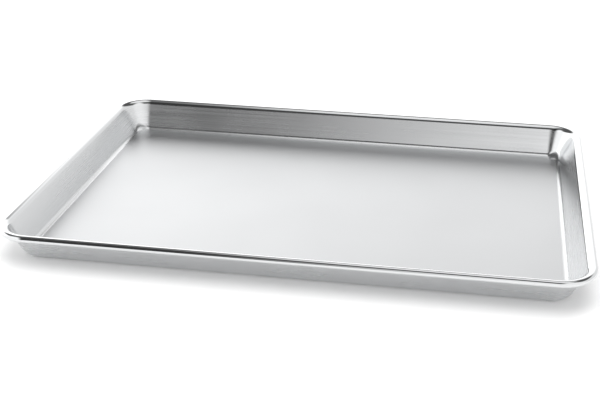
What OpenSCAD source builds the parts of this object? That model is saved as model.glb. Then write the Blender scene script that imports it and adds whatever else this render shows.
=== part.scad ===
// Jelly roll pan: one tray pressed from aluminium sheet, its edge rolled round a steel wire.
// The origin is the middle of the base, on the surface that the pan stands on.
// X runs along the long sides, Y across the pan and Z up. All sizes are in millimetres.

/* [Tray] */
// Overall length, over the rolled rim
pan_l = 413; // [250:1:600]
// Overall width, over the rolled rim
pan_w = 286; // [160:1:450]
// Overall height, from the table to the top of the rim
pan_h = 24; // [19:0.5:60]
// Thickness of the aluminium sheet
sheet = 0.8; // [0.6:0.05:1.2]

/* [Walls] */
// Distance in plan from the rim's outer edge to the edge of the flat floor
wall_run = 19.5; // [17:0.5:35]
// Inside radius of the bend where the floor turns up into the wall
bend_r = 4; // [2:0.25:6]
// Outside radius over which the top of the wall turns out into the rim
flare_r = 5.5; // [4.5:0.25:8]
// Plan radius of the rim's corners, at their outer edge
rim_corner_r = 27; // [20:0.5:45]
// Plan radius of the flat floor's corners
floor_corner_r = 18; // [8:0.5:40]

/* [Rolled rim] */
// Diameter of the steel wire inside the roll
wire_d = 2.9; // [2:0.1:4.5]
// Clearance between the wire and the sheet rolled round it
wire_clearance = 0.15; // [0.1:0.01:0.3]
// Angle of the roll, from the top of the rim out, under and back to the wall
roll_wrap = 285; // [220:5:290]
// Gap between the butted ends of the wire, in the middle of the back
wire_gap = 1; // [0.4:0.1:4]

/* [Hidden] */

// Facets: pieces of arc in each corner of the tray, in each bend and in the roll
corner_steps = 12;
bend_steps = 5;
roll_out_steps = 5;
roll_under_steps = 11;

// The profile is drawn in [x, z], with x = 0 at the rim's outer edge and negative towards the tray.
roll_r = wire_d / 2 + wire_clearance + sheet;
roll_c = [-roll_r, pan_h - roll_r];
flare_c = [-roll_r, pan_h - flare_r];
bend_c = [-wall_run, sheet + bend_r];

// The wall's slope above the floor: the line that touches both the bend and the flare
centres = flare_c - bend_c;
wall_slope = atan2(centres[1], centres[0]) + asin((bend_r + flare_r) / norm(centres));
wall_top_x = flare_c[0] - flare_r * sin(wall_slope);
wall_foot_x = bend_c[0] + bend_r * sin(wall_slope);

// The turn of a quarter round corner, and the signs of the four corners' places
quarter = 90;
corner_signs = [[1, 1], [-1, 1], [-1, -1], [1, -1]];

$fn = 48;

// Points on a circle of radius r about c, from angle a to angle b
function arc(c, r, a, b, steps) =
    [for (i = [0:steps]) c + r * [cos(a + (b - a) * i / steps), sin(a + (b - a) * i / steps)]];

// A list without its first point, so that two arcs share the point where they meet
function rest(points) = [for (i = [1:len(points) - 1]) points[i]];

// The sheet's face: floor, bend, wall, flare, then over and round the wire
function face_side() = concat(
    arc(bend_c, bend_r, -quarter, wall_slope - quarter, bend_steps),
    arc(flare_c, flare_r, wall_slope + quarter, quarter, bend_steps),
    rest(arc(roll_c, roll_r, quarter, 0, roll_out_steps)),
    rest(arc(roll_c, roll_r, 0, quarter - roll_wrap, roll_under_steps))
);

// The sheet's back, from the tucked edge of the roll to the underside of the floor
function back_side() = concat(
    arc(roll_c, roll_r - sheet, quarter - roll_wrap, 0, roll_under_steps),
    rest(arc(roll_c, roll_r - sheet, 0, quarter, roll_out_steps)),
    rest(arc(flare_c, flare_r - sheet, quarter, wall_slope + quarter, bend_steps)),
    arc(bend_c, bend_r + sheet, wall_slope - quarter, -quarter, bend_steps)
);

// Plan radius of the corner at a place on the profile. The rim and the floor's bend each keep
// one centre, and the wall blends between them, as in a drawn tray whose corners stay full.
function corner_r(x) =
    x >= wall_top_x ? rim_corner_r + x
    : x <= wall_foot_x ? floor_corner_r + wall_run + x
    : let (
        top_r = rim_corner_r + wall_top_x,
        foot_r = floor_corner_r + wall_run + wall_foot_x,
        share = (x - wall_foot_x) / (wall_top_x - wall_foot_x)
    ) foot_r + (top_r - foot_r) * share;

// The rounded rectangle that a place on the profile traces round the tray
function outline(x) = let (r = corner_r(x), middle = [pan_l / 2 + x - r, pan_w / 2 + x - r])
    [for (corner = [0:3]) each
        arc([for (i = [0:1]) middle[i] * corner_signs[corner][i]],
            r, quarter * corner, quarter * (corner + 1), corner_steps)];

// Carries a closed profile round the tray, one outline for each of its points
module carried_round(profile) {
    loops = [for (p = profile) [for (q = outline(p[0])) [q[0], q[1], p[1]]]];
    rows = len(loops);
    cols = len(loops[0]);
    polyhedron(
        points = [for (loop = loops) each loop],
        faces = [for (i = [0:rows - 1], j = [0:cols - 1])
            let (i2 = (i + 1) % rows, j2 = (j + 1) % cols)
            [i * cols + j, i * cols + j2, i2 * cols + j2, i2 * cols + j]],
        convexity = 10
    );
}

// Walls, bends and rolled rim in one strip of sheet, closed by the flat floor
module pan_body() {
    color([0.80, 0.80, 0.81])
    union() {
        carried_round(concat(face_side(), back_side()));
        linear_extrude(sheet) polygon(outline(-wall_run));
    }
}

// One straight run of the rim's wire along X, centred
module wire_run(length) {
    rotate([0, quarter, 0]) cylinder(d = wire_d, h = length, center = true);
}

// The wire that stiffens the rim, bent to the rim's outline with its ends butted at the back
module rim_wire() {
    turn_r = rim_corner_r - roll_r;
    run_x = pan_l - 2 * rim_corner_r;
    run_y = pan_w - 2 * rim_corner_r;
    half_run = (run_x - wire_gap) / 2;
    color([0.58, 0.60, 0.62])
    translate([0, 0, roll_c[1]])
    union() {
        for (side = [-1, 1])
            translate([side * (pan_l / 2 - roll_r), 0, 0]) rotate([0, 0, quarter]) wire_run(run_y);
        translate([0, roll_r - pan_w / 2, 0]) wire_run(run_x);
        for (side = [-1, 1])
            translate([side * (half_run + wire_gap) / 2, pan_w / 2 - roll_r, 0]) wire_run(half_run);
        for (corner = [0:3])
            translate([corner_signs[corner][0] * run_x / 2, corner_signs[corner][1] * run_y / 2, 0])
            rotate([0, 0, quarter * corner])
            rotate_extrude(angle = quarter)
            translate([turn_r, 0]) circle(d = wire_d);
    }
}

pan_body();
rim_wire();
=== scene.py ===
# A jelly roll pan on a white table in a soft studio: pressed from aluminium sheet, with its edge
# rolled round a steel wire. Lengths are in metres and z is up, as in the frame.
import math
import bpy
import bmesh
from mathutils import Matrix, Vector


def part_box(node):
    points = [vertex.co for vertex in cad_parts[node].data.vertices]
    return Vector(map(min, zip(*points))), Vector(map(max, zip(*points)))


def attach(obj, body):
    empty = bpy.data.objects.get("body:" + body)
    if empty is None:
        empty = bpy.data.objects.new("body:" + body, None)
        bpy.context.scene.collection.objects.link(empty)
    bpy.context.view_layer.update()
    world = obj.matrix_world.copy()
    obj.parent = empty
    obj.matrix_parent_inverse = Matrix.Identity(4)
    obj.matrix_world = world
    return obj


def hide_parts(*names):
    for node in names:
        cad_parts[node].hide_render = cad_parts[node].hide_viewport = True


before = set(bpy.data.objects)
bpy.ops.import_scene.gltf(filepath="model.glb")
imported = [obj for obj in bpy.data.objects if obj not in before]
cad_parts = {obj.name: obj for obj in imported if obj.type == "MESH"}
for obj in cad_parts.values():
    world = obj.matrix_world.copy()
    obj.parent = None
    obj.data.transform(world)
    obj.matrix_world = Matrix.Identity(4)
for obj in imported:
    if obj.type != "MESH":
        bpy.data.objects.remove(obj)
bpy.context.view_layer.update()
mm = 0.001
print("frame loaded:", ", ".join(sorted(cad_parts)))


def hexColour(code):  # sRGB hex to the linear colour that the shaders take
    parts = [int(code[i:i + 2], 16) / 255 for i in (1, 3, 5)]
    return (*[p / 12.92 if p <= 0.04045 else ((p + 0.055) / 1.055) ** 2.4 for p in parts], 1.0)


def addNode(tree, kind, settings=None, **sockets):
    # each socket is given a value, or an output to link from, by its name or as at0, at1 and so on
    node = tree.nodes.new(kind)
    for name, value in (settings or {}).items():
        setattr(node, name, value)
    for name, value in sockets.items():
        key = int(name[2:]) if name.startswith("at") and name[2:].isdigit() else name.replace("_", " ")
        if isinstance(value, bpy.types.NodeSocket):
            tree.links.new(value, node.inputs[key])
        else:
            node.inputs[key].default_value = value
    return node


def newMaterial(name):
    material = bpy.data.materials.new(name)
    material.use_nodes = True
    material.node_tree.nodes.clear()
    return material


# The camera stands in front of the pan, above the table and a little to the right, and looks down
# 25 degrees. The picture was cropped off centre, and the shift is that crop.
shot = {
    "place": (130.8 * mm, -739.5 * mm, 352.3 * mm),
    "turn": -8.38,  # degrees, left of straight ahead
    "tilt": 25.04,  # degrees down
    "roll": -0.76,
    "focalPixels": 1053.5,
    "centreColumn": 346,  # the pixel column that the lens points at
    "imageWidth": 600,
    "sensor": 36.0,
    "nearest": 10 * mm,
}


def setCamera(shot):
    turn, tilt, roll = (math.radians(shot[k]) for k in ("turn", "tilt", "roll"))
    forward = Vector((math.sin(turn) * math.cos(tilt), math.cos(turn) * math.cos(tilt), -math.sin(tilt)))
    right = Vector((math.cos(turn), -math.sin(turn), 0))
    down = forward.cross(right)
    rightRolled = math.cos(roll) * right + math.sin(roll) * down
    downRolled = math.cos(roll) * down - math.sin(roll) * right
    data = bpy.data.cameras.new("camera")
    data.sensor_width = shot["sensor"]
    data.lens = shot["focalPixels"] / shot["imageWidth"] * shot["sensor"]
    data.shift_x = (shot["imageWidth"] / 2 - shot["centreColumn"]) / shot["imageWidth"]
    data.clip_start = shot["nearest"]
    camera = bpy.data.objects.new("camera", data)
    bpy.context.scene.collection.objects.link(camera)
    axes = Matrix((rightRolled, -downRolled, -forward)).transposed()
    camera.matrix_world = Matrix.Translation(shot["place"]) @ axes.to_4x4()
    bpy.context.scene.camera = camera


setCamera(shot)
print("camera set")


# The tray. Its profile runs up from the floor, through the bend, wall and flare, over the top of
# the rim and round the wire. x is measured in from the rim's outer edge, so it's negative. The
# corners of rim and wall share one centre, and the bend under the wall opens out in each corner.
pan = {
    "sheet": 0.8 * mm,
    "wallRun": 19.5 * mm,  # from the rim's outer edge to the flat floor, in plan
    "bendRadius": 4.0 * mm,
    "cornerBend": 11.0 * mm,  # radius of the bend in the middle of a corner
    "cornerEase": 1.5,  # how slowly the bend opens as it enters a corner
    "flareRadius": 5.5 * mm,
    "rimPolish": 0.7,  # how far down the flare the rolling polished it, as a share of its radius
    "rollRadius": 2.4 * mm,
    "rollWrap": 285,  # degrees, from the top out and under
    "rimCorner": 27.0 * mm,  # plan radius at the rim's outer edge
    "bendSteps": 10,
    "rollSteps": 30,
    "cornerSteps": 28,
    "onSide": 0.0001 * mm,  # a point this close to a straight side belongs to it
}


def arcPoints(centre, radius, start, end, steps):
    angles = [math.radians(start + (end - start) * i / steps) for i in range(steps + 1)]
    return [(centre[0] + radius * math.cos(a), centre[1] + radius * math.sin(a)) for a in angles]


def wallSlope(p, height):  # degrees above the floor: the line that touches the bend and the flare
    dx = p["wallRun"] - p["rollRadius"]
    dz = height - p["flareRadius"] - p["sheet"] - p["bendRadius"]
    turned = math.asin((p["bendRadius"] + p["flareRadius"]) / math.hypot(dx, dz))
    return math.degrees(math.atan2(dz, dx) + turned)


def bendPoints(p, height, radius):  # a wider bend touches the same wall and floor
    slope = wallSlope(p, height)
    extra = (radius - p["bendRadius"]) * math.tan(math.radians(slope / 2))
    centre = (-p["wallRun"] - extra, p["sheet"] + radius)
    return arcPoints(centre, radius, -90, slope - 90, p["bendSteps"])


def panProfile(p, height):
    slope, rollIn = wallSlope(p, height), -p["rollRadius"]
    flare = arcPoints((rollIn, height - p["flareRadius"]), p["flareRadius"], slope + 90, 90, p["bendSteps"])
    roll = arcPoints((rollIn, height - p["rollRadius"]), p["rollRadius"],
                     90, 90 - p["rollWrap"], p["rollSteps"])
    return bendPoints(p, height, p["bendRadius"]) + flare + roll[1:]


def addOutline(half, radius, x, z, steps):  # a rounded rectangle of edges, added in edit mode
    bpy.ops.mesh.primitive_plane_add(size=2, location=(0, 0, z))
    bpy.ops.transform.resize(value=(half[0] + x, half[1] + x, 1), center_override=(0, 0, z))
    bpy.ops.mesh.bevel(affect="VERTICES", offset_type="OFFSET", offset=radius, segments=steps,
                       profile=0.5, clamp_overlap=False)
    bpy.ops.mesh.delete(type="ONLY_FACE")


def selectVertices(obj, chosen):  # those whose index is in chosen
    bpy.ops.mesh.select_all(action="DESELECT")
    mesh = bmesh.from_edit_mesh(obj.data)
    mesh.verts.ensure_lookup_table()
    for i in chosen:
        mesh.verts[i].select = True
    mesh.select_flush(True)
    bmesh.update_edit_mesh(obj.data)


def openCornerBends(obj, p, half, height, perLoop):  # moves only the bend's rows, in each corner
    centre = (half[0] - p["rimCorner"], half[1] - p["rimCorner"])
    for i in range((p["bendSteps"] + 1) * perLoop):
        co = obj.data.vertices[i].co
        out = Vector((max(abs(co.x) - centre[0], 0), max(abs(co.y) - centre[1], 0)))
        if min(out) <= p["onSide"]:
            continue
        turn = math.atan2(out.y, out.x)
        opened = math.sin(2 * turn) ** p["cornerEase"]  # 0 at the sides, 1 in the middle of the corner
        radius = p["bendRadius"] + (p["cornerBend"] - p["bendRadius"]) * opened
        x, z = bendPoints(p, height, radius)[i // perLoop]
        reach = p["rimCorner"] + x
        co.x = math.copysign(centre[0] + reach * math.cos(turn), co.x)
        co.y = math.copysign(centre[1] + reach * math.sin(turn), co.y)
        co.z = z


def makePan(p, low, high):
    half = ((high.x - low.x) / 2, (high.y - low.y) / 2)
    profile = panProfile(p, high.z)
    bpy.ops.object.select_all(action="DESELECT")
    bpy.ops.mesh.primitive_plane_add(size=2)
    obj = bpy.context.object
    obj.name = obj.data.name = "pan_sheet"
    bpy.ops.object.mode_set(mode="EDIT")
    bpy.ops.mesh.select_mode(type="VERT")
    bpy.ops.mesh.delete(type="VERT")
    for x, z in profile:
        addOutline(half, p["rimCorner"] + x, x, z, p["cornerSteps"])
    perLoop = 4 * (p["cornerSteps"] + 1)
    for i in range(len(profile) - 1):  # faces between each pair of neighbours
        selectVertices(obj, range(i * perLoop, (i + 2) * perLoop))
        bpy.ops.mesh.bridge_edge_loops()
    bpy.ops.object.mode_set(mode="OBJECT")
    openCornerBends(obj, p, half, high.z, perLoop)
    bpy.ops.object.mode_set(mode="EDIT")
    selectVertices(obj, range(perLoop))
    bpy.ops.mesh.edge_face_add()  # the flat floor
    bpy.ops.mesh.select_all(action="SELECT")
    bpy.ops.mesh.normals_make_consistent(inside=False)
    bpy.ops.object.mode_set(mode="OBJECT")
    floor = max(obj.data.polygons, key=lambda f: f.area)
    if floor.normal.z < 0:  # the side that's used faces up
        obj.data.flip_normals()
    rimFoot = high.z - p["rimPolish"] * p["flareRadius"]
    for face in obj.data.polygons:  # 0 floor, 1 bends and walls, 2 rolled rim
        face.material_index = 0 if face == floor else 1 if face.center.z < rimFoot else 2
    bpy.ops.object.modifier_add(type="SOLIDIFY")
    solid = obj.modifiers[-1]
    solid.thickness = p["sheet"]
    solid.offset = -1  # the profile is the face that's used, and the sheet lies behind it
    solid.use_even_offset = True
    bpy.ops.object.modifier_apply(modifier=solid.name)
    bpy.ops.object.shade_smooth()
    bpy.ops.object.modifier_add(type="WEIGHTED_NORMAL")  # flat areas keep their own flat shading
    bpy.ops.object.modifier_apply(modifier=obj.modifiers[-1].name)
    return obj


panSheet = makePan(pan, *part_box("pan_body"))
print("pan sheet:", len(panSheet.data.polygons), "faces")


# Aluminium sheet, 3000 series, bare and new, in three finishes. "lines" holds the length of the
# surface's lines along x, y and z, and "cloud" the size of its slow unevenness.
sheetColour = "#DADBDC"
satinFloor = {  # the mill leaves a soft satin, almost even, with faint lines along the pan
    "name": "satin_rolled_aluminium",
    "colour": sheetColour,
    "lines": (90 * mm, 0.6 * mm, 1000 * mm),  # the mill's own are finer, drawn as coarse as shows
    "cloud": 70 * mm,
    "roughness": 0.38,
    "spread": 0.02,  # how far the roughness varies either way
    "bump": 0.10,
    "depth": 0.02 * mm,
}
drawnWall = {  # the draw burnishes the walls, with streaks along their length
    "name": "drawn_aluminium",
    "colour": sheetColour,
    "lines": (240 * mm, 240 * mm, 1.5 * mm),
    "cloud": 70 * mm,
    "roughness": 0.25,
    "spread": 0.07,
    "bump": 0.2,
    "depth": 0.03 * mm,
}
burnishedRim = {  # the rolling nearly polishes the rim, so it shows the studio as thin lines
    "name": "burnished_aluminium",
    "colour": sheetColour,
    "lines": (240 * mm, 240 * mm, 0.6 * mm),
    "cloud": 70 * mm,
    "roughness": 0.09,
    "spread": 0.02,
    "bump": 0.05,
    "depth": 0.01 * mm,
}
galvanisedWire = {  # zinc on steel: greyer and duller, with soft spangles
    "name": "galvanised_steel",
    "colour": "#B9BCC0",
    "lines": (4 * mm, 4 * mm, 4 * mm),
    "cloud": 9 * mm,
    "roughness": 0.42,
    "spread": 0.08,
    "bump": 0.10,
    "depth": 0.02 * mm,
}
noiseRange = (0.3, 0.7)  # nearly all of a noise texture's values lie here, and two are added


def metalMaterial(finish):  # stretched lines raise the surface, and lines and clouds vary its roughness
    material = newMaterial(finish["name"])
    tree = material.node_tree
    place = addNode(tree, "ShaderNodeTexCoord").outputs["Object"]
    mapping = addNode(tree, "ShaderNodeMapping", Vector=place, Scale=[1 / s for s in finish["lines"]])
    lines = addNode(tree, "ShaderNodeTexNoise", Vector=mapping.outputs[0],
                    Scale=1.0, Detail=1.5, Roughness=0.5)
    clouds = addNode(tree, "ShaderNodeTexNoise", Vector=place, Scale=1 / finish["cloud"], Detail=2.0)
    both = addNode(tree, "ShaderNodeMath", {"operation": "ADD"}, at0=lines.outputs[0], at1=clouds.outputs[0])
    rough = addNode(tree, "ShaderNodeMapRange", Value=both.outputs[0],
                    From_Min=2 * noiseRange[0], From_Max=2 * noiseRange[1],
                    To_Min=finish["roughness"] - finish["spread"],
                    To_Max=finish["roughness"] + finish["spread"])
    raised = addNode(tree, "ShaderNodeBump", Height=lines.outputs[0], Strength=finish["bump"],
                     Distance=finish["depth"])
    shader = addNode(tree, "ShaderNodeBsdfPrincipled", Base_Color=hexColour(finish["colour"]), Metallic=1.0,
                     Roughness=rough.outputs[0], Normal=raised.outputs[0])
    addNode(tree, "ShaderNodeOutputMaterial", Surface=shader.outputs[0])
    return material


for finish in (satinFloor, drawnWall, burnishedRim):
    panSheet.data.materials.append(metalMaterial(finish))
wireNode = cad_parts["rim_wire"]
wireNode.data.materials.clear()
wireNode.data.materials.append(metalMaterial(galvanisedWire))
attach(panSheet, "root")
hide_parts("pan_body")
print("materials on")


# The table, and a light above it that the metal doesn't mirror.
tableTop = {
    "size": 12.0,
    "drop": 0.02 * mm,  # under the pan's base, so that the two faces don't meet
    "colour": "#F4F4F4",
    "roughness": 0.7,
    "glow": 0.06,  # stands for the light that a white table scatters under the rim
}
topLight = {
    "height": 2.2,
    "size": 2.6,
    "power": 45,  # watts
}


def makeTable(t):
    bpy.ops.object.select_all(action="DESELECT")
    bpy.ops.mesh.primitive_plane_add(size=t["size"], location=(0, 0, -t["drop"]))
    table = bpy.context.object
    table.name = "table"
    material = newMaterial("matt_white_laminate")
    tree = material.node_tree
    shader = addNode(tree, "ShaderNodeBsdfPrincipled", Base_Color=hexColour(t["colour"]),
                     Roughness=t["roughness"], Emission_Color=(1, 1, 1, 1), Emission_Strength=t["glow"])
    addNode(tree, "ShaderNodeOutputMaterial", Surface=shader.outputs[0])
    table.data.materials.append(material)


def makeTopLight(t):
    bpy.ops.object.light_add(type="AREA", location=(0, 0, t["height"]))
    light = bpy.context.object
    light.data.size = t["size"]
    light.data.energy = t["power"]
    light.visible_glossy = False


# The studio is drawn by direction. Behind the pan stands a pale backdrop with a dim space above it,
# and softboxes stand to the left and right of the camera. The dim gap between them draws the dark
# line along the rim, and a wide soft panel hangs overhead. These are the brightness of each part.
studio = {
    "backdropLeft": 1.90,
    "backdropMiddle": 1.50,
    "backdropRight": 1.00,
    "upperBack": 0.12,
    "softboxLeft": 1.35,
    "gap": 0.05,
    "aboveCamera": 0.10,
    "softboxRight": 1.20,
    "overheadLeft": 0.20,
    "overheadRight": 1.10,
}
# Where one part passes into the next, from and to: to the right, back or up in a direction of length 1.
studioEdges = {
    "backdropLeft": (-0.45, 0.05),
    "backdropRight": (0.05, 0.45),
    "backdropTop": (0.52, 0.64),
    "gapLeft": (-0.60, -0.42),
    "gapRight": (-0.30, 0.08),
    "aboveCameraLeft": (-0.30, -0.05),
    "aboveCameraRight": (0.15, 0.45),
    "aboveCameraFoot": (0.54, 0.74),
    "frontToBack": (-0.30, 0.05),
    "overheadLeft": (-0.32, -0.12),
    "overheadFoot": (0.90, 0.95),
    "overheadLean": 0.16,  # the panel reaches lower at the back than in front
}


def fade(tree, along, edge, before, after):  # one part of the studio passes softly into the next
    share = addNode(tree, "ShaderNodeMapRange", {"interpolation_type": "SMOOTHSTEP"}, Value=along,
                    From_Min=edge[0], From_Max=edge[1]).outputs[0]
    return addNode(tree, "ShaderNodeMix", at0=share, at2=before, at3=after).outputs[0]


def makeStudio(s, e):
    world = bpy.data.worlds.new("studio")
    bpy.context.scene.world = world
    world.use_nodes = True
    tree = world.node_tree
    tree.nodes.clear()
    direction = addNode(tree, "ShaderNodeTexCoord").outputs["Generated"]
    toRight, toBack, up = addNode(tree, "ShaderNodeSeparateXYZ", Vector=direction).outputs
    leftHalf = fade(tree, toRight, e["backdropLeft"], s["backdropLeft"], s["backdropMiddle"])
    backdrop = fade(tree, toRight, e["backdropRight"], leftHalf, s["backdropRight"])
    back = fade(tree, up, e["backdropTop"], backdrop, s["upperBack"])
    left = fade(tree, toRight, e["gapLeft"], s["softboxLeft"], s["gap"])
    frontLow = fade(tree, toRight, e["gapRight"], left, s["softboxRight"])
    above = fade(tree, toRight, e["aboveCameraLeft"], left, s["aboveCamera"])
    frontHigh = fade(tree, toRight, e["aboveCameraRight"], above, s["softboxRight"])
    front = fade(tree, up, e["aboveCameraFoot"], frontLow, frontHigh)
    aside = fade(tree, toBack, e["frontToBack"], front, back)
    overhead = fade(tree, toRight, e["overheadLeft"], s["overheadLeft"], s["overheadRight"])
    leaning = addNode(tree, "ShaderNodeMath", {"operation": "MULTIPLY_ADD"},
                      at0=toBack, at1=e["overheadLean"], at2=up).outputs[0]
    level = fade(tree, leaning, e["overheadFoot"], aside, overhead)
    background = addNode(tree, "ShaderNodeBackground", Color=level, Strength=1.0)
    addNode(tree, "ShaderNodeOutputWorld", Surface=background.outputs[0])


makeTopLight(topLight)
makeTable(tableTop)
makeStudio(studio, studioEdges)
bpy.context.scene.view_settings.view_transform = "Standard"
print("studio lit")
